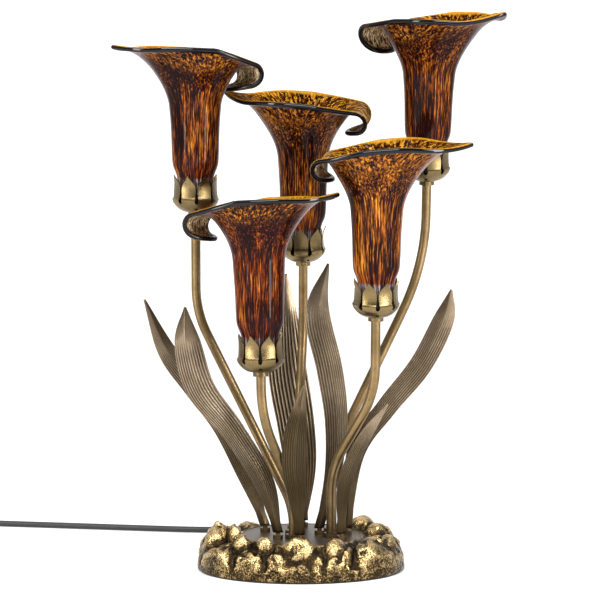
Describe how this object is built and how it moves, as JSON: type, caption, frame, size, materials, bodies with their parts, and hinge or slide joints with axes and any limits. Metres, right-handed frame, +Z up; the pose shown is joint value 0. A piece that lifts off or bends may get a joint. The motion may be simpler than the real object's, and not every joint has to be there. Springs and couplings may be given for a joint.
{
  "type": "accent lamp",
  "caption": "Table lamp with art-glass calla lily shades on bent brass stems, ribbed brass leaves and a cast base of rocks, with cord, hand switch and plug.",
  "frame": {"origin": "centre of the base's underside, on the surface that the lamp stands on", "axes": "+Z up along the flowers, +X to the right of a viewer who looks at the front, -Y towards that viewer; the cord leaves at the back"},
  "size_m": [0.6905, 0.3274, 0.5083],
  "materials": {
    "base_metal": "antique gold paint over a dark ground, worn bright on the high spots",
    "plate_metal": "grey-brown satin",
    "brass": "antique satin with dark patina in the grooves",
    "steel": "plain",
    "felt": "dark felt",
    "insulation": "ivory",
    "seat_rubber": "black",
    "cap_metal": "rolled screw cap",
    "bulb_glass": "frosted",
    "lily_glass": "glossy tortoiseshell, amber streaks in dark red-brown",
    "cord_rubber": "black, satin",
    "black_plastic": "black, fine texture",
    "blade_metal": "plain"
  },
  "bodies": {
    "lamp": {"base_casting": "base_metal", "base_plate": "plate_metal", "felt_pad": "felt", "stem_nuts": "brass", "lock_nuts": "steel", "leaf_nuts": "brass", "leaf_studs": "brass", "wire_joint": "insulation", "stem_1": "brass", "stem_2": "brass", "stem_3": "brass", "stem_4": "brass", "stem_5": "brass", "calyx_1": "brass", "calyx_2": "brass", "calyx_3": "brass", "calyx_4": "brass", "calyx_5": "brass", "calyx_collars": "brass", "stem_pipes": "steel", "seat_rings": "seat_rubber", "socket_1": "insulation", "socket_2": "insulation", "socket_3": "insulation", "socket_4": "insulation", "socket_5": "insulation", "shade_1": "lily_glass", "shade_2": "lily_glass", "shade_3": "lily_glass", "shade_4": "lily_glass", "shade_5": "lily_glass", "leaf_1": "brass", "leaf_2": "brass", "leaf_3": "brass", "leaf_4": "brass", "leaf_5": "brass", "leaf_6": "brass", "leaf_7": "brass", "cord_sleeve": "cord_rubber", "cord_run": "cord_rubber", "switch_base": "black_plastic", "switch_cover": "black_plastic", "cord_coil": "cord_rubber", "cord_tie": "black_plastic", "plug_body": "black_plastic", "plug_blades": "blade_metal"},
    "bulb_1": {"bulb_cap_1": "cap_metal", "bulb_glass_1": "bulb_glass"},
    "bulb_2": {"bulb_cap_2": "cap_metal", "bulb_glass_2": "bulb_glass"},
    "bulb_3": {"bulb_cap_3": "cap_metal", "bulb_glass_3": "bulb_glass"},
    "bulb_4": {"bulb_cap_4": "cap_metal", "bulb_glass_4": "bulb_glass"},
    "bulb_5": {"bulb_cap_5": "cap_metal", "bulb_glass_5": "bulb_glass"},
    "rocker": {"switch_rocker": "black_plastic"}
  },
  "joints": [
    {"name": "bulb_1_unscrew", "type": "hinge", "parent": "lamp", "child": "bulb_1", "pos_m": [-0.096, 0.01034, 0.32786], "axis": [0, -0.0279, 0.9996], "range_deg": [0, 1080]},
    {"name": "bulb_2_unscrew", "type": "hinge", "parent": "lamp", "child": "bulb_2", "pos_m": [0.002, 0.05149, 0.27985], "axis": [0, -0.1219, 0.9925], "range_deg": [0, 1080]},
    {"name": "bulb_3_unscrew", "type": "hinge", "parent": "lamp", "child": "bulb_3", "pos_m": [-0.03579, -0.05028, 0.18831], "axis": [-0.0174, 0.0227, 0.9996], "range_deg": [0, 1080]},
    {"name": "bulb_4_unscrew", "type": "hinge", "parent": "lamp", "child": "bulb_4", "pos_m": [0.06694, -0.03894, 0.23686], "axis": [0.0052, -0.0872, 0.9962], "range_deg": [0, 1080]},
    {"name": "bulb_5_unscrew", "type": "hinge", "parent": "lamp", "child": "bulb_5", "pos_m": [0.11537, 0.02655, 0.3559], "axis": [0.0104, -0.1271, 0.9918], "range_deg": [0, 1080]},
    {"name": "switch_throw", "type": "hinge", "parent": "lamp", "child": "rocker", "pos_m": [-0.379, 0.216, 0.0155], "axis": [0, 1, 0], "range_deg": [0, 16]}
  ]
}
